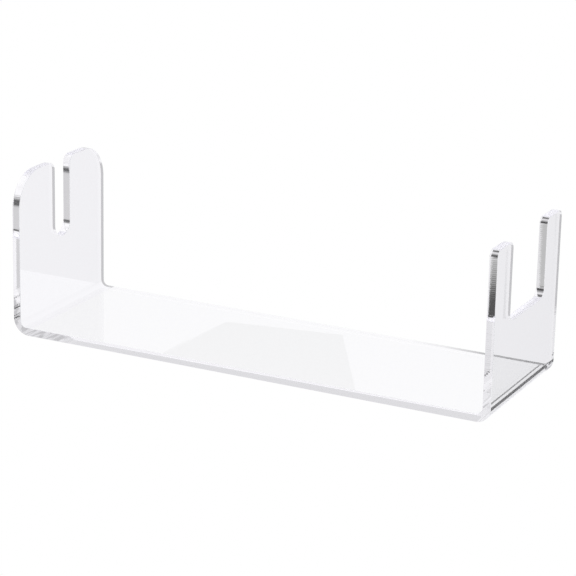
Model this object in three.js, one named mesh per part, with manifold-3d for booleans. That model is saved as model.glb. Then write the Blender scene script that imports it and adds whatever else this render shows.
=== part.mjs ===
// A clear acrylic display cradle, bent from one flat sheet.
//
// A rectangular floor turns up through a bend at each end into an upright. The upright at -X has a
// narrow slot with a round bottom, and the upright at +X has a wide slot with a flat bottom. A long,
// tapered object rests with its thin end in the narrow slot and its thick end in the wide one.
//
// Units are millimetres. +X runs along the length, towards the wide slot, +Y runs across the sheet
// and +Z is up. The origin is on the underside, at the middle of the floor.

import * as THREE from 'three';
import { mergeVertices } from 'three/addons/utils/BufferGeometryUtils.js';
import Module from 'manifold-3d';

// The sheet and its two bends.
const overallLength = 300;
const sheetWidth = 94;
const sheetThickness = 4.8;
const insideBendRadius = 3.5;
const wideEndBendRadius = insideBendRadius + sheetThickness;
// This bend was pulled while hot, so its outside is rounder and the sheet is thinner there.
const narrowEndBendRadius = 10;

// The upright with the narrow slot.
const narrowEndHeight = 95.5;
const narrowSlotWidth = 16.6;
const narrowSlotFloor = 48.5;
const shoulderRadius = 21;
const narrowEndTipRadius = 5;

// The upright with the wide slot.
const wideEndHeight = 96.5;
const wideSlotWidth = 50;
const wideSlotFloor = 51.5;
const wideSlotCornerRadius = 5;
const wideEndTipRadius = 4;

// How far each cutter runs past the face that it cuts.
const cutterMargin = 6;

// The number of straight steps in each quarter of a circle.
const stepsPerQuarter = 12;

const halfLength = overallLength / 2;
const halfWidth = sheetWidth / 2;
const quarterTurn = Math.PI / 2;

// The side view, as X and Z: up the narrow end, down inside it, along the floor, and up the wide end.
function sideOutline() {
  const outline = new THREE.Shape();
  const innerWall = halfLength - sheetThickness;
  const innerBendX = innerWall - insideBendRadius;
  const innerBendZ = sheetThickness + insideBendRadius;
  const narrowBendX = -halfLength + narrowEndBendRadius;
  const wideBendX = halfLength - wideEndBendRadius;
  outline.moveTo(-halfLength, narrowEndHeight);
  outline.lineTo(-halfLength, narrowEndBendRadius);
  outline.absarc(narrowBendX, narrowEndBendRadius, narrowEndBendRadius, -Math.PI, -quarterTurn, false);
  outline.lineTo(wideBendX, 0);
  outline.absarc(wideBendX, wideEndBendRadius, wideEndBendRadius, -quarterTurn, 0, false);
  outline.lineTo(halfLength, wideEndHeight);
  outline.lineTo(innerWall, wideEndHeight);
  outline.lineTo(innerWall, innerBendZ);
  outline.absarc(innerBendX, innerBendZ, insideBendRadius, 0, -quarterTurn, true);
  outline.lineTo(-innerBendX, sheetThickness);
  outline.absarc(-innerBendX, innerBendZ, insideBendRadius, -quarterTurn, -Math.PI, true);
  outline.lineTo(-innerWall, narrowEndHeight);
  outline.closePath();
  return outline;
}

// What is left outside a rounded corner, as Y and Z. The corner points towards +Y for side 1 and
// towards -Y for side -1.
function cornerOffcut(edgeY, topZ, radius, side, sideMargin) {
  const offcut = new THREE.Shape();
  const centreY = edgeY - side * radius;
  const centreZ = topZ - radius;
  const startAngle = side > 0 ? 0 : Math.PI;
  offcut.moveTo(edgeY + side * sideMargin, centreZ);
  offcut.lineTo(edgeY, centreZ);
  offcut.absarc(centreY, centreZ, radius, startAngle, quarterTurn, side < 0);
  offcut.lineTo(centreY, topZ + cutterMargin);
  offcut.lineTo(edgeY + side * sideMargin, topZ + cutterMargin);
  offcut.closePath();
  return offcut;
}

// A slot that is open at the top, with its two bottom corners rounded, as Y and Z.
function slotShape(width, floorZ, cornerRadius, topZ) {
  const slot = new THREE.Shape();
  const halfSlot = width / 2;
  const cornerY = halfSlot - cornerRadius;
  const cornerZ = floorZ + cornerRadius;
  slot.moveTo(-halfSlot, topZ + cutterMargin);
  slot.lineTo(-halfSlot, cornerZ);
  slot.absarc(-cornerY, cornerZ, cornerRadius, Math.PI, Math.PI + quarterTurn, false);
  slot.absarc(cornerY, cornerZ, cornerRadius, -quarterTurn, 0, false);
  slot.lineTo(halfSlot, topZ + cutterMargin);
  slot.closePath();
  return slot;
}

// A shape drawn as X and Z, made solid across the whole width of the sheet.
function extrudeAcross(shape) {
  const geometry = new THREE.ExtrudeGeometry(shape, {
    depth: sheetWidth,
    bevelEnabled: false,
    curveSegments: stepsPerQuarter,
  });
  geometry.rotateX(quarterTurn);
  geometry.translate(0, halfWidth, 0);
  return geometry;
}

// A shape drawn as Y and Z, made solid through the thickness of one upright.
function extrudeThroughUpright(shape, centreX) {
  const geometry = new THREE.ExtrudeGeometry(shape, {
    depth: sheetThickness + 2 * cutterMargin,
    bevelEnabled: false,
    curveSegments: stepsPerQuarter,
  });
  const turn = new THREE.Matrix4().makeBasis(
    new THREE.Vector3(0, 1, 0),
    new THREE.Vector3(0, 0, 1),
    new THREE.Vector3(1, 0, 0),
  );
  geometry.applyMatrix4(turn);
  geometry.translate(centreX - sheetThickness / 2 - cutterMargin, 0, 0);
  return geometry;
}

const wasm = await Module();
wasm.setup();

function toSolid(geometry) {
  const bare = geometry.clone();
  bare.deleteAttribute('normal');
  bare.deleteAttribute('uv');
  const merged = mergeVertices(bare, 1e-4);
  return new wasm.Manifold(new wasm.Mesh({
    numProp: 3,
    vertProperties: new Float32Array(merged.attributes.position.array),
    triVerts: new Uint32Array(merged.index.array),
  }));
}

function toGeometry(solid) {
  const mesh = solid.getMesh();
  const geometry = new THREE.BufferGeometry();
  geometry.setAttribute('position', new THREE.BufferAttribute(mesh.vertProperties, 3));
  geometry.setIndex(new THREE.BufferAttribute(mesh.triVerts, 1));
  geometry.computeVertexNormals();
  return geometry;
}

// The cuts in one upright: its slot, its two outer corners and the two corners beside the slot.
function uprightCuts(upright) {
  const { centreX, height, slotWidth, slotFloor, slotCornerRadius, outerRadius, tipRadius } = upright;
  const shapes = [slotShape(slotWidth, slotFloor, slotCornerRadius, height)];
  for (const side of [-1, 1]) {
    shapes.push(cornerOffcut(side * halfWidth, height, outerRadius, side, cutterMargin));
    shapes.push(cornerOffcut(side * slotWidth / 2, height, tipRadius, -side, tipRadius));
  }
  return shapes.map((shape) => toSolid(extrudeThroughUpright(shape, centreX)));
}

function cradleGeometry() {
  const cuts = [
    ...uprightCuts({
      centreX: -halfLength + sheetThickness / 2,
      height: narrowEndHeight,
      slotWidth: narrowSlotWidth,
      slotFloor: narrowSlotFloor,
      slotCornerRadius: narrowSlotWidth / 2,
      outerRadius: shoulderRadius,
      tipRadius: narrowEndTipRadius,
    }),
    ...uprightCuts({
      centreX: halfLength - sheetThickness / 2,
      height: wideEndHeight,
      slotWidth: wideSlotWidth,
      slotFloor: wideSlotFloor,
      slotCornerRadius: wideSlotCornerRadius,
      outerRadius: wideEndTipRadius,
      tipRadius: wideEndTipRadius,
    }),
  ];
  const uncut = toSolid(extrudeAcross(sideOutline()));
  const cradle = cuts.reduce((solid, cutter) => solid.subtract(cutter), uncut);
  return toGeometry(cradle);
}

const clearAcrylic = new THREE.MeshStandardMaterial({
  name: 'clear_acrylic',
  color: 0xf1f0f7,
  roughness: 0.04,
  metalness: 0,
});

const bentCradle = new THREE.Mesh(cradleGeometry(), clearAcrylic);
bentCradle.name = 'bent_acrylic_cradle';

const stand = new THREE.Group();
stand.name = 'display_cradle';
stand.add(bentCradle);

export default stand;
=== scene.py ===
"""A clear acrylic display cradle, bent from one sheet, on a white studio sweep.

The frame's node is the whole cradle. It is made here again as one finer mesh: its bends are smooth, its
arrises are slightly rounded, and the laser's ripples run across its cut edges. Units are metres, +X runs
along the length towards the wide slot, +Y runs away from the camera's side and +Z is up.
"""

import math
from collections import namedtuple

import bpy
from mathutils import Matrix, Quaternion, Vector


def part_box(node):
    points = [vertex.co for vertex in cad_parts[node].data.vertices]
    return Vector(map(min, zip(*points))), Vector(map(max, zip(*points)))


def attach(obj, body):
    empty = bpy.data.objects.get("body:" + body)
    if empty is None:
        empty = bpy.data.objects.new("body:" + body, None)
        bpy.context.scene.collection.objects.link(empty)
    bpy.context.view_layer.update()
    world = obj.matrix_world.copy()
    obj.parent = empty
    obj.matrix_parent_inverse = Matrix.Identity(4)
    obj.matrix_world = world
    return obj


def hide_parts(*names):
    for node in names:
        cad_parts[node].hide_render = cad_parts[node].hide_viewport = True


MM = 0.001
QUARTER = math.pi / 2

# The sheet. Its length, width and height come from the frame's node.
CRADLE_NODE = "bent_acrylic_cradle"
SHEET_THICKNESS = 4.8 * MM
INSIDE_BEND_RADIUS = 3.5 * MM
ARRIS_RADIUS = 0.25 * MM

# An upright and the bend under it. side is -1 at the narrow slot's end and 1 at the wide slot's end. Heights
# are from the surface that the cradle stands on, and lower says how far the upright stops below the cradle's
# highest point.
Upright = namedtuple("Upright", "side lower bend slot_width slot_floor slot_corner shoulder tip")
NARROW_UPRIGHT = Upright(-1, 1 * MM, 10 * MM, 16.6 * MM, 48.5 * MM, 8.3 * MM, 21 * MM, 5 * MM)
WIDE_UPRIGHT = Upright(1, 0, 8.3 * MM, 50 * MM, 51.5 * MM, 5 * MM, 4 * MM, 4 * MM)

# How finely the rim, the bends and the arrises are divided.
RIM_STEP = 0.27 * MM
BEND_STEPS = 64
ARRIS_STEPS = 3

# The laser's ripples along a cut edge: the pitch and the depth of each wave.
RIPPLES = (
    (1.1 * MM, 0.007 * MM),
    (0.83 * MM, 0.002 * MM),
    (4.3 * MM, 0.004 * MM),
)

# One step along the rim of the sheet: its two corners, and the way that the edge and the two faces look.
RimStep = namedtuple("RimStep", "outer inner outward outer_face inner_face")

# Clear cast acrylic. The tints and the depth colour give it a faint lavender cast, and a roughness is the
# lowest and the highest value.
ACRYLIC_IOR = 1.49
DEPTH_COLOUR = (0.84, 0.83, 0.91, 1)
DEPTH_DENSITY = 1
FACE_TINT = (0.99, 0.99, 1, 1)
FACE_ROUGHNESS = (0, 0.006)
EDGE_TINT = (0.996, 0.994, 1, 1)
EDGE_ROUGHNESS = (0, 0.01)
HAZE_SCALE = 90
HAZE_DETAIL = 4
# The fine lines that the laser left across the cut edge.
LINE_PITCH = 0.35 * MM
LINE_DETAIL = 2
LINE_STRENGTH = 0.04
LINE_DEPTH = 0.02 * MM

# The camera, as it stands to the cradle.
CAMERA_AIM = Vector((4.9, 0, 39.9)) * MM
CAMERA_DISTANCE = 1383 * MM
CAMERA_AZIMUTH = math.radians(26.4)
CAMERA_ELEVATION = math.radians(17.75)
CAMERA_ROLL = math.radians(1.23)
CAMERA_LENS = 151.8
CAMERA_SENSOR = 36

# The studio.
SWEEP_HALF_WIDTH = 4
SWEEP_DROP = 0.2 * MM
SWEEP_LEVEL = 1.0
PAPER_LEVEL = 1.0
CAMERA_ROOM = (1, 1, 1, 1)
ROOM_TINT = (0.985, 0.98, 1, 1)
# How bright the room is: straight through the sheet, mirrored on the outside of it, and to light that was
# mirrored inside it. The last two go by elevation in degrees.
THROUGH_LEVEL = 0.975
MIRRORED_ROOM = ((-90, 0.42), (-8, 0.42), (5, 0.95), (40, 1.1), (90, 1.15))
EDGE_ROOM = (
    (-90, 0.7), (-63, 0.7), (-57, 1.0), (-10, 1.02),
    (5, 0.9), (12, 0.82), (32, 0.82), (42, 1.3), (90, 1.35),
)
BRIGHTEST = 1.35
# Flags round the cradle, which only take from light that was mirrored inside it: the azimuth from +X towards
# +Y, half the width that is fully flagged, half the width where the flag ends, and the share of the light
# that it leaves by elevation. All are in degrees.
Flag = namedtuple("Flag", "azimuth inner outer levels")
FLAGS = (
    Flag(245, 20, 32, ((-90, 0.55), (-3, 0.55), (8, 1), (90, 1))),
    Flag(270, 14, 22, ((-90, 0.65), (-3, 0.65), (8, 1), (90, 1))),
    Flag(263, 8, 14, ((-90, 1), (8, 1), (14, 0.22), (26, 0.22), (32, 1), (90, 1))),
    Flag(78, 22, 34, ((-90, 1), (8, 1), (14, 0.75), (36, 0.75), (44, 1), (90, 1))),
    Flag(64, 14, 18, ((-90, 0.06), (-47, 0.06), (-41, 0.8), (-36, 1), (90, 1))),
    Flag(50, 8, 12, ((-90, 1), (-23, 1), (-20.5, 0.8), (-14.5, 0.82), (-8, 1), (90, 1))),
    Flag(93, 18, 24, ((-90, 1), (-36, 1), (-33, 0.9), (-14, 0.9), (-8, 1), (90, 1))),
    Flag(116, 6, 9, ((-90, 1), (-26, 1), (-22, 0.95), (22, 0.95), (26, 1), (90, 1))),
    Flag(67, 5, 7, (
        (-90, 1), (-39, 1), (-35, 0.5), (-28, 0.2), (-23.5, 0.2), (-21.5, 0.9), (-20.5, 1), (90, 1),
    )),
    Flag(58, 26, 36, (
        (-90, 1), (-31, 1), (-27.5, 0.4), (-25, 0.06), (-22.5, 0.1),
        (-21, 0.4), (-19.5, 0.8), (-12, 0.82), (0, 0.9), (90, 1),
    )),
)
# Cards on the floor lie just above the sweep and the paper, and just under the cradle.
CARD_DROP = 0.1 * MM
# Painted shade, a dark line on the paper under the floor that shows along the wide bend: how far along it is,
# its width and its level.
SHADE_LINE_ALONG = 138.35 * MM
SHADE_LINE_WIDTH = 1.1 * MM
SHADE_LINE_LEVEL = 0.05
# The shadow under the bend of the wide upright: where it starts and ends along the cradle.
BEND_SHADOW = (144.2 * MM, 150.5 * MM)
# Cards of painted shade, two on the floor behind the wide upright and one, a painted shadow, under the back
# edge of the cradle's floor: the middle of each end, the width, and the levels from end to end.
ShadeCard = namedtuple("ShadeCard", "near far width levels")
SHADE_CARDS = (
    ShadeCard((204.8 * MM, 125.3 * MM), (256.3 * MM, 258.8 * MM), 8 * MM, (
        (0, 0.05), (0.36, 0.07), (0.44, 0.16), (0.55, 0.24),
        (0.62, 0.33), (0.75, 0.42), (0.93, 0.5), (1, 0.5),
    )),
    ShadeCard((195 * MM, 192 * MM), (258 * MM, 359 * MM), 12 * MM, (
        (0, 0.06), (0.062, 0.06), (0.09, 0.52), (1, 0.52),
    )),
    ShadeCard((60 * MM, 45.2 * MM), (146 * MM, 45.2 * MM), 3.6 * MM, (
        (0, 1), (0.25, 0.85), (0.45, 0.55), (0.55, 0.35), (0.65, 0.15), (1, 0.05),
    )),
)
# The grey board that the cradle's floor mirrors faintly: how far behind the cradle it stands, its corners as
# along and up, and its level.
BOARD_DISTANCE = 1500 * MM
BOARD_CORNERS = ((-830 * MM, 567 * MM), (-660 * MM, 556 * MM), (-636 * MM, 640 * MM), (-945 * MM, 640 * MM))
BOARD_LEVEL = 0.7
LIGHT_BOUNCES = 200


def round_corner(upright, half_length, centre, radius, start, end, hollow=False):
    """Rim steps round a corner of an upright. Angles are from +Y towards +Z, and centre is (y, z)."""
    outside = upright.side * half_length
    inside = upright.side * (half_length - SHEET_THICKNESS)
    outer_face = Vector((upright.side, 0, 0))
    count = math.ceil(abs(end - start) * radius / RIM_STEP)
    run = []
    for step in range(count + 1):
        turn = start + (end - start) * step / count
        radial = Vector((0, math.cos(turn), math.sin(turn)))
        at = Vector((0, *centre)) + radial * radius
        outer = at + Vector((outside, 0, 0))
        inner = at + Vector((inside, 0, 0))
        run.append(RimStep(outer, inner, -radial if hollow else radial, outer_face, -outer_face))
    return run


def bend_run(upright, half_length, edge_y):
    """Rim steps down one end of a bend, from its upright to the floor, at the back or front edge."""
    inside_corner = SHEET_THICKNESS + INSIDE_BEND_RADIUS
    outer_centre = Vector((upright.side * (half_length - upright.bend), edge_y, upright.bend))
    inner_centre = Vector((upright.side * (half_length - inside_corner), edge_y, inside_corner))
    outward = Vector((0, math.copysign(1, edge_y), 0))
    run = []
    for step in range(BEND_STEPS + 1):
        turn = QUARTER * step / BEND_STEPS
        radial = Vector((upright.side * math.cos(turn), 0, -math.sin(turn)))
        outer = outer_centre + radial * upright.bend
        inner = inner_centre + radial * INSIDE_BEND_RADIUS
        run.append(RimStep(outer, inner, outward, radial, -radial))
    return run


def join_runs(runs):
    """One run of rim steps made of several, with straight steps across the gap between each two."""
    joined = list(runs[0])
    for run in runs[1:]:
        start, end = joined[-1], run[0]
        gap = (end.outer - start.outer).length
        count = math.ceil(gap / RIM_STEP)
        for step in range(1, count):
            outer = start.outer.lerp(end.outer, step / count)
            inner = start.inner.lerp(end.inner, step / count)
            joined.append(start._replace(outer=outer, inner=inner))
        joined.extend(run if gap > ARRIS_RADIUS else run[1:])
    return joined


def upright_run(upright, half_length, half_width, top):
    """Rim steps from the front foot of an upright, over both tips and through the slot, to its back foot."""
    height = top - upright.lower
    shoulder_y = half_width - upright.shoulder
    shoulder_z = height - upright.shoulder
    tip_y = upright.slot_width / 2 + upright.tip
    tip_z = height - upright.tip
    corner_y = upright.slot_width / 2 - upright.slot_corner
    corner_z = upright.slot_floor + upright.slot_corner

    def corner(y, z, radius, start, end, hollow=False):
        return round_corner(upright, half_length, (y, z), radius, start * QUARTER, end * QUARTER, hollow)

    return join_runs([
        bend_run(upright, half_length, -half_width)[:1],
        corner(-shoulder_y, shoulder_z, upright.shoulder, 2, 1),
        corner(-tip_y, tip_z, upright.tip, 1, 0),
        corner(-corner_y, corner_z, upright.slot_corner, 2, 3, hollow=True),
        corner(corner_y, corner_z, upright.slot_corner, 3, 4, hollow=True),
        corner(tip_y, tip_z, upright.tip, 2, 1),
        corner(shoulder_y, shoulder_z, upright.shoulder, 1, 0),
        bend_run(upright, half_length, half_width)[:1],
    ])


def floor_run(half_length, edge_y):
    """Rim steps along the floor's front or back edge with both bends, from the narrow end to the wide end."""
    narrow_bend = bend_run(NARROW_UPRIGHT, half_length, edge_y)
    wide_bend = bend_run(WIDE_UPRIGHT, half_length, edge_y)
    return join_runs([narrow_bend, wide_bend[::-1]])


def rim_lengths(rim):
    """How far along the rim each step is, and the whole way round."""
    lengths = []
    total = 0
    for step, following in zip(rim, rim[1:] + rim[:1]):
        lengths.append(total)
        total += ((following.outer + following.inner) - (step.outer + step.inner)).length / 2
    return lengths, total


def ripple(along, total):
    """How deep and how steep the ripples are at a distance along the rim. Each wave closes on itself."""
    depth = slope = 0
    for pitch, height in RIPPLES:
        waves = round(total / pitch)
        turn = math.tau * waves * along / total
        depth += height * (1 - math.cos(turn)) / 2
        slope += height * math.pi * waves / total * math.sin(turn)
    return depth, slope


def edge_profile(step, depth, slope):
    """Vertices and normals across the edge at one rim step, from the outer face to the inner one."""
    along = step.outer_face.cross(step.outward)
    outward = (step.outward + along * slope).normalized()
    across = (step.inner - step.outer).normalized()
    quarter_arris = [QUARTER * (1 - k / ARRIS_STEPS) for k in range(ARRIS_STEPS + 1)]
    outer_half = [(step.outer, across, step.outer_face, turn) for turn in quarter_arris]
    inner_half = [(step.inner, -across, step.inner_face, turn) for turn in reversed(quarter_arris)]
    vertices = []
    normals = []
    for corner, into, face, turn in outer_half + inner_half:
        drop = ARRIS_RADIUS * (1 - math.sin(turn))
        inset = ARRIS_RADIUS * (1 - math.cos(turn)) + depth
        vertices.append(corner + into * drop - step.outward * inset)
        normals.append(outward * math.cos(turn) + face * math.sin(turn))
    return vertices, normals


def cradle_rim(high):
    """All rim steps in order, and the indices of each upright's outline and of the floor's two edges."""
    half_length, half_width, top = high
    narrow = upright_run(NARROW_UPRIGHT, half_length, half_width, top)
    wide = upright_run(WIDE_UPRIGHT, half_length, half_width, top)
    back = floor_run(half_length, half_width)
    front = floor_run(half_length, -half_width)
    rim = narrow + back[1:-1] + wide[::-1] + front[-2:0:-1]
    back_indices = [len(narrow) - 1 + i for i in range(len(back))]
    front_indices = [-i % len(rim) for i in range(len(front))]
    narrow_indices = list(range(len(narrow)))
    wide_indices = list(range(back_indices[-1], front_indices[-1] + 1))
    return rim, (narrow_indices, wide_indices), (back_indices, front_indices)


def cradle_mesh(high):
    """The whole sheet up to its highest corner as one closed mesh, with normals that keep its faces flat."""
    rim, outlines, (back, front) = cradle_rim(high)
    lengths, total = rim_lengths(rim)
    vertices = []
    normals = []
    for step, along in zip(rim, lengths):
        depth, slope = ripple(along, total)
        step_vertices, step_normals = edge_profile(step, depth, slope)
        vertices.extend(step_vertices)
        normals.extend(step_normals)

    columns = 2 * (ARRIS_STEPS + 1)
    edge_faces = []
    for i in range(len(rim)):
        near = i * columns
        far = (i + 1) % len(rim) * columns
        for column in range(columns - 1):
            edge_faces.append((near + column, near + column + 1, far + column + 1, far + column))

    loops = list(outlines)
    for i in range(len(back) - 1):
        loops.append((back[i], back[i + 1], front[i + 1], front[i]))
    sheet_faces = []
    for loop in loops:
        sheet_faces.append([i * columns for i in loop])
        sheet_faces.append([i * columns + columns - 1 for i in reversed(loop)])

    mesh = bpy.data.meshes.new("clear_cradle")
    mesh.from_pydata(vertices, [], sheet_faces + edge_faces)
    mesh.polygons.foreach_set("use_smooth", [True] * len(mesh.polygons))
    mesh.polygons.foreach_set("material_index", [0] * len(sheet_faces) + [1] * len(edge_faces))
    run = mesh.attributes.new("rim_run", "FLOAT", "POINT")
    run.data.foreach_set("value", [along for along in lengths for _ in range(columns)])
    mesh.validate()
    mesh.normals_split_custom_set_from_vertices(normals)
    return mesh


def new_material(name):
    """An empty node material, with its tree and its output."""
    material = bpy.data.materials.new(name)
    material.use_nodes = True
    nodes = material.node_tree.nodes
    nodes.clear()
    return material, material.node_tree, nodes.new("ShaderNodeOutputMaterial")


def clear_acrylic(name, tint, roughness):
    """Clear acrylic with a faint cast in its depth, and a roughness that varies a little over it."""
    material, tree, output = new_material(name)
    shader = tree.nodes.new("ShaderNodeBsdfPrincipled")
    shader.inputs["Base Color"].default_value = tint
    shader.inputs["IOR"].default_value = ACRYLIC_IOR
    shader.inputs["Transmission Weight"].default_value = 1
    depth = tree.nodes.new("ShaderNodeVolumeAbsorption")
    depth.inputs["Color"].default_value = DEPTH_COLOUR
    depth.inputs["Density"].default_value = DEPTH_DENSITY
    tree.links.new(shader.outputs["BSDF"], output.inputs["Surface"])
    tree.links.new(depth.outputs["Volume"], output.inputs["Volume"])

    place = tree.nodes.new("ShaderNodeTexCoord")
    haze = tree.nodes.new("ShaderNodeTexNoise")
    haze.inputs["Scale"].default_value = HAZE_SCALE
    haze.inputs["Detail"].default_value = HAZE_DETAIL
    spread = tree.nodes.new("ShaderNodeMapRange")
    spread.inputs["To Min"].default_value = roughness[0]
    spread.inputs["To Max"].default_value = roughness[1]
    tree.links.new(place.outputs["Object"], haze.inputs["Vector"])
    tree.links.new(haze.outputs["Fac"], spread.inputs["Value"])
    tree.links.new(spread.outputs["Result"], shader.inputs["Roughness"])
    return material, tree, shader


def polished_face():
    """The sheet's two faces, as they were cast."""
    return clear_acrylic("clear_acrylic_face", FACE_TINT, FACE_ROUGHNESS)[0]


def laser_cut_edge():
    """The cut edge: almost as smooth as the faces, with fine lines across it that the laser left."""
    material, tree, shader = clear_acrylic("clear_acrylic_edge", EDGE_TINT, EDGE_ROUGHNESS)
    run = tree.nodes.new("ShaderNodeAttribute")
    run.attribute_name = "rim_run"
    lines = tree.nodes.new("ShaderNodeTexNoise")
    lines.noise_dimensions = "1D"
    lines.inputs["Detail"].default_value = LINE_DETAIL
    bump = tree.nodes.new("ShaderNodeBump")
    bump.inputs["Strength"].default_value = LINE_STRENGTH
    bump.inputs["Distance"].default_value = LINE_DEPTH
    tree.links.new(math_node(tree, "MULTIPLY", run.outputs["Fac"], 1 / LINE_PITCH), lines.inputs["W"])
    tree.links.new(lines.outputs["Fac"], bump.inputs["Height"])
    tree.links.new(bump.outputs["Normal"], shader.inputs["Normal"])
    return material


def make_cradle():
    """The cradle in place of the frame's node."""
    _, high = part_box(CRADLE_NODE)
    cradle = bpy.data.objects.new("clear_cradle", cradle_mesh(high))
    bpy.context.scene.collection.objects.link(cradle)
    cradle.data.materials.append(polished_face())
    cradle.data.materials.append(laser_cut_edge())
    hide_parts(CRADLE_NODE)
    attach(cradle, "root")


def math_node(tree, operation, *values):
    """The output of a Math node. A value is a number or another node's output."""
    node = tree.nodes.new("ShaderNodeMath")
    node.operation = operation
    for socket, value in zip(node.inputs, values):
        if isinstance(value, bpy.types.NodeSocket):
            tree.links.new(value, socket)
        else:
            socket.default_value = value
    return node.outputs["Value"]


def smooth_step(tree, value, start, end, low, high):
    """A value that goes smoothly from low at start to high at end, and stays there."""
    node = tree.nodes.new("ShaderNodeMapRange")
    node.interpolation_type = "SMOOTHSTEP"
    tree.links.new(value, node.inputs["Value"])
    for name, number in (("From Min", start), ("From Max", end), ("To Min", low), ("To Max", high)):
        node.inputs[name].default_value = number
    return node.outputs["Result"]


def level_mix(tree, share, first, second):
    """first where share is 0 and second where it is 1."""
    kept = math_node(tree, "MULTIPLY", math_node(tree, "SUBTRACT", 1, share), first)
    return math_node(tree, "MULTIPLY_ADD", share, second, kept)


def level_ramp(tree, value, levels, low, high):
    """A brightness that goes straight from one (value, level) to the next, for values from low to high."""
    share = tree.nodes.new("ShaderNodeMapRange")
    share.inputs["From Min"].default_value = low
    share.inputs["From Max"].default_value = high
    tree.links.new(value, share.inputs["Value"])
    ramp = tree.nodes.new("ShaderNodeValToRGB")
    tree.links.new(share.outputs["Result"], ramp.inputs["Fac"])
    stops = ramp.color_ramp.elements
    while len(stops) < len(levels):
        stops.new(0.5)
    for stop, (at, level) in zip(stops, levels):
        stop.position = (at - low) / (high - low)
    for stop, (at, level) in zip(stops, levels):
        stop.color = (*[level / BRIGHTEST] * 3, 1)
    return math_node(tree, "MULTIPLY", ramp.outputs["Color"], BRIGHTEST)


def room_ramp(tree, up, levels):
    """A brightness by elevation, where up is the height of a direction of length 1."""
    heights = [(math.sin(math.radians(elevation)), level) for elevation, level in levels]
    return level_ramp(tree, up, heights, -1, 1)


def mix_shaders(tree, share, first, second, surface):
    """Give a surface the first shader where share is 0 and the second where it is 1."""
    mix = tree.nodes.new("ShaderNodeMixShader")
    tree.links.new(share, mix.inputs["Fac"])
    tree.links.new(first.outputs[0], mix.inputs[1])
    tree.links.new(second.outputs[0], mix.inputs[2])
    tree.links.new(mix.outputs["Shader"], surface)


def light_path(tree, measure):
    """What the light has met on its way, such as Glossy Depth, how many times it was mirrored."""
    return tree.nodes.new("ShaderNodeLightPath").outputs[measure]


def at_least(tree, count, limit):
    """1 where a whole number is at least the limit, and 0 where it is lower."""
    return math_node(tree, "GREATER_THAN", count, limit - 0.5)


def mirrored_inside(tree, odd=False):
    """1 for light that was let in and mirrored inside. odd asks for an odd number of mirrors."""
    through = at_least(tree, light_path(tree, "Transmission Depth"), 1)
    mirrors = light_path(tree, "Glossy Depth")
    if odd:
        mirrors = math_node(tree, "MODULO", mirrors, 2)
    return math_node(tree, "MULTIPLY", through, at_least(tree, mirrors, 1))


def glowing_card(name, corners):
    """A four-cornered card that glows and that belongs to the studio."""
    mesh = bpy.data.meshes.new(name)
    mesh.from_pydata(corners, [], [(0, 1, 2, 3)])
    card = bpy.data.objects.new(name, mesh)
    bpy.context.scene.collection.objects.link(card)
    material, tree, output = new_material(name)
    glow = tree.nodes.new("ShaderNodeEmission")
    tree.links.new(glow.outputs["Emission"], output.inputs["Surface"])
    mesh.materials.append(material)
    return card, tree, glow.inputs["Strength"]


def floor_card(name, near, far, width, drop):
    """A glowing card on the floor. near and far are the middles of its two ends, as (x, y)."""
    near = Vector((*near, -drop))
    far = Vector((*far, -drop))
    along = far - near
    side = Vector((along.y, -along.x, 0)).normalized() * width / 2
    card, tree, strength = glowing_card(name, [near - side, near + side, far + side, far - side])
    share = card.data.attributes.new("share_along", "FLOAT", "POINT")
    share.data.foreach_set("value", (0, 0, 1, 1))
    return card, tree, strength


def make_sweep():
    """The white sweep, which only the camera sees."""
    front, back = (0, -SWEEP_HALF_WIDTH), (0, SWEEP_HALF_WIDTH)
    sweep, _, strength = floor_card("white_sweep", front, back, 2 * SWEEP_HALF_WIDTH, SWEEP_DROP)
    strength.default_value = SWEEP_LEVEL
    sweep.visible_glossy = False
    sweep.visible_transmission = False
    sweep.visible_diffuse = False


def make_paper():
    """The white paper under the cradle's floor, as the cradle shows it."""
    low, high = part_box(CRADLE_NODE)
    left, right = (low[0] + NARROW_UPRIGHT.bend, 0), (high[0], 0)
    paper, _, strength = floor_card("white_paper", left, right, high[1] - low[1], SWEEP_DROP)
    strength.default_value = PAPER_LEVEL
    paper.visible_camera = False


def make_painted_shade_line():
    """A dark line of painted shade across the paper, seen along the wide bend. It only shows through both an
    upright and the floor.
    """
    low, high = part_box(CRADLE_NODE)
    front, back = (SHADE_LINE_ALONG, low[1]), (SHADE_LINE_ALONG, high[1])
    shade_line_card, tree, strength = floor_card("painted_shade_line", front, back, SHADE_LINE_WIDTH, CARD_DROP)
    through_both = at_least(tree, light_path(tree, "Transmission Depth"), 3)
    tree.links.new(level_mix(tree, through_both, PAPER_LEVEL, SHADE_LINE_LEVEL), strength)
    shade_line_card.visible_camera = False


def make_bend_shadow():
    """The shadow under the bend of the wide upright. Light mirrored three times or more finds it white."""
    low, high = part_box(CRADLE_NODE)
    start, end = BEND_SHADOW
    shadow, tree, strength = floor_card("bend_shadow", (start, 0), (end, 0), high[1] - low[1], CARD_DROP)
    tree.links.new(at_least(tree, light_path(tree, "Glossy Depth"), 3), strength)
    shadow.visible_camera = False
    shadow.visible_glossy = False


def make_painted_shade_cards():
    """Painted shade: dark cards on the floor that darken some edges. They only stop light mirrored inside an
    odd number of times.
    """
    for number, (near, far, width, levels) in enumerate(SHADE_CARDS, start=1):
        card, tree, strength = floor_card(f"painted_shade_card_{number}", near, far, width, CARD_DROP)
        card.visible_camera = False
        card.visible_glossy = False
        share = tree.nodes.new("ShaderNodeAttribute")
        share.attribute_name = "share_along"
        tree.links.new(level_ramp(tree, share.outputs["Fac"], levels, 0, 1), strength)
        clear = tree.nodes.new("ShaderNodeBsdfTransparent")
        surface = tree.get_output_node("ALL").inputs["Surface"]
        mix_shaders(tree, mirrored_inside(tree, odd=True), clear, strength.node, surface)


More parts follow.
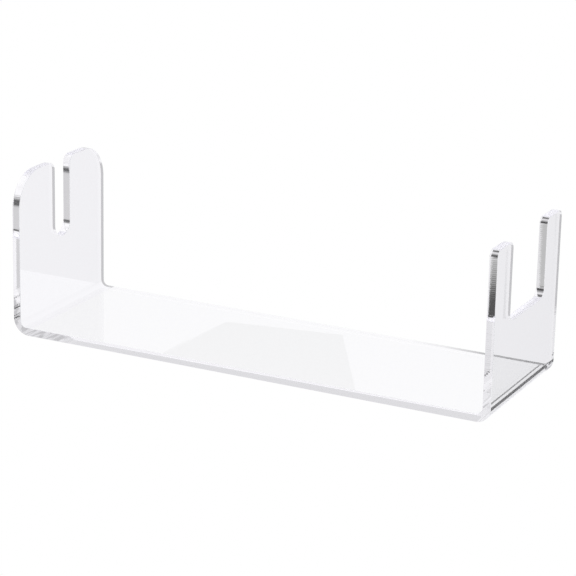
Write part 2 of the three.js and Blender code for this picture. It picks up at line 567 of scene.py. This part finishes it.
def make_board():
    """The grey board behind the cradle. Only what is mirrored on the outside of the sheet shows it."""
    corners = [(along, BOARD_DISTANCE, up) for along, up in BOARD_CORNERS]
    board, _, strength = glowing_card("grey_board", corners)
    strength.default_value = BOARD_LEVEL
    board.visible_camera = False
    board.visible_transmission = False


def flag_share(tree, along, away, up):
    """How much light the flags leave in a direction."""
    flat = math_node(tree, "SQRT", math_node(tree, "SUBTRACT", 1, math_node(tree, "MULTIPLY", up, up)))
    share = 1
    for flag in FLAGS:
        azimuth, inner, outer = (math.radians(angle) for angle in flag[:3])
        reach = math_node(tree, "MULTIPLY", along, math.cos(azimuth))
        reach = math_node(tree, "MULTIPLY_ADD", away, math.sin(azimuth), reach)
        reach = math_node(tree, "DIVIDE", reach, flat)
        there = smooth_step(tree, reach, math.cos(outer), math.cos(inner), 0, 1)
        left = level_mix(tree, there, 1, room_ramp(tree, up, flag.levels))
        share = math_node(tree, "MULTIPLY", share, left)
    return share


def make_world():
    """The room: white to the camera, almost even to what the flat faces show, and contrasty to the edges."""
    world = bpy.data.worlds.new("white_room")
    bpy.context.scene.world = world
    world.use_nodes = True
    tree = world.node_tree
    tree.nodes.clear()
    output = tree.nodes.new("ShaderNodeOutputWorld")
    direction = tree.nodes.new("ShaderNodeTexCoord")
    parts = tree.nodes.new("ShaderNodeSeparateXYZ")
    tree.links.new(direction.outputs["Generated"], parts.inputs["Vector"])
    along, away, up = (parts.outputs[axis] for axis in "XYZ")
    edge = math_node(tree, "MULTIPLY", room_ramp(tree, up, EDGE_ROOM), flag_share(tree, along, away, up))
    mirrored = at_least(tree, light_path(tree, "Glossy Depth"), 1)
    plain = level_mix(tree, mirrored, THROUGH_LEVEL, room_ramp(tree, up, MIRRORED_ROOM))
    room = tree.nodes.new("ShaderNodeBackground")
    room.inputs["Color"].default_value = ROOM_TINT
    tree.links.new(level_mix(tree, mirrored_inside(tree), plain, edge), room.inputs["Strength"])
    white = tree.nodes.new("ShaderNodeBackground")
    white.inputs["Color"].default_value = CAMERA_ROOM
    mix_shaders(tree, light_path(tree, "Is Camera Ray"), room, white, output.inputs["Surface"])


def make_camera():
    """The camera, a little above the cradle and to the right of its front."""
    data = bpy.data.cameras.new("camera")
    data.lens = CAMERA_LENS
    data.sensor_width = CAMERA_SENSOR
    camera = bpy.data.objects.new("camera", data)
    bpy.context.scene.collection.objects.link(camera)
    level = math.cos(CAMERA_ELEVATION)
    away = Vector((
        math.sin(CAMERA_AZIMUTH) * level,
        -math.cos(CAMERA_AZIMUTH) * level,
        math.sin(CAMERA_ELEVATION),
    ))
    camera.location = CAMERA_AIM + away * CAMERA_DISTANCE
    camera.rotation_mode = "QUATERNION"
    roll = Quaternion((0, 0, 1), CAMERA_ROLL)
    camera.rotation_quaternion = (-away).to_track_quat("-Z", "Y") @ roll
    bpy.context.scene.camera = camera


def set_light_paths():
    """Light bounces many times inside clear acrylic before it finds a way out."""
    scene = bpy.context.scene
    scene.view_settings.view_transform = "Standard"
    scene.cycles.max_bounces = LIGHT_BOUNCES
    scene.cycles.transmission_bounces = LIGHT_BOUNCES
    scene.cycles.glossy_bounces = LIGHT_BOUNCES
    scene.cycles.use_denoising = True


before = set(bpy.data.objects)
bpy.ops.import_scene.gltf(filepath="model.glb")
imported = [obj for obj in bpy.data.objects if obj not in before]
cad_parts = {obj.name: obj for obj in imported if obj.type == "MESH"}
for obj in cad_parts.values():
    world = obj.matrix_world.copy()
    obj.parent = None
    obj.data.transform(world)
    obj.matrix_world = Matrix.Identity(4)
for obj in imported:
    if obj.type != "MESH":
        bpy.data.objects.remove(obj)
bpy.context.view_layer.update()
make_camera()
make_world()
make_sweep()
make_paper()
# Painted shade: a dark line on the paper, seen through the sheet along the wide bend.
make_painted_shade_line()
make_bend_shadow()
# Painted shade and a painted shadow: dark cards on the floor, seen in the cut edges.
make_painted_shade_cards()
make_board()
make_cradle()
set_light_paths()
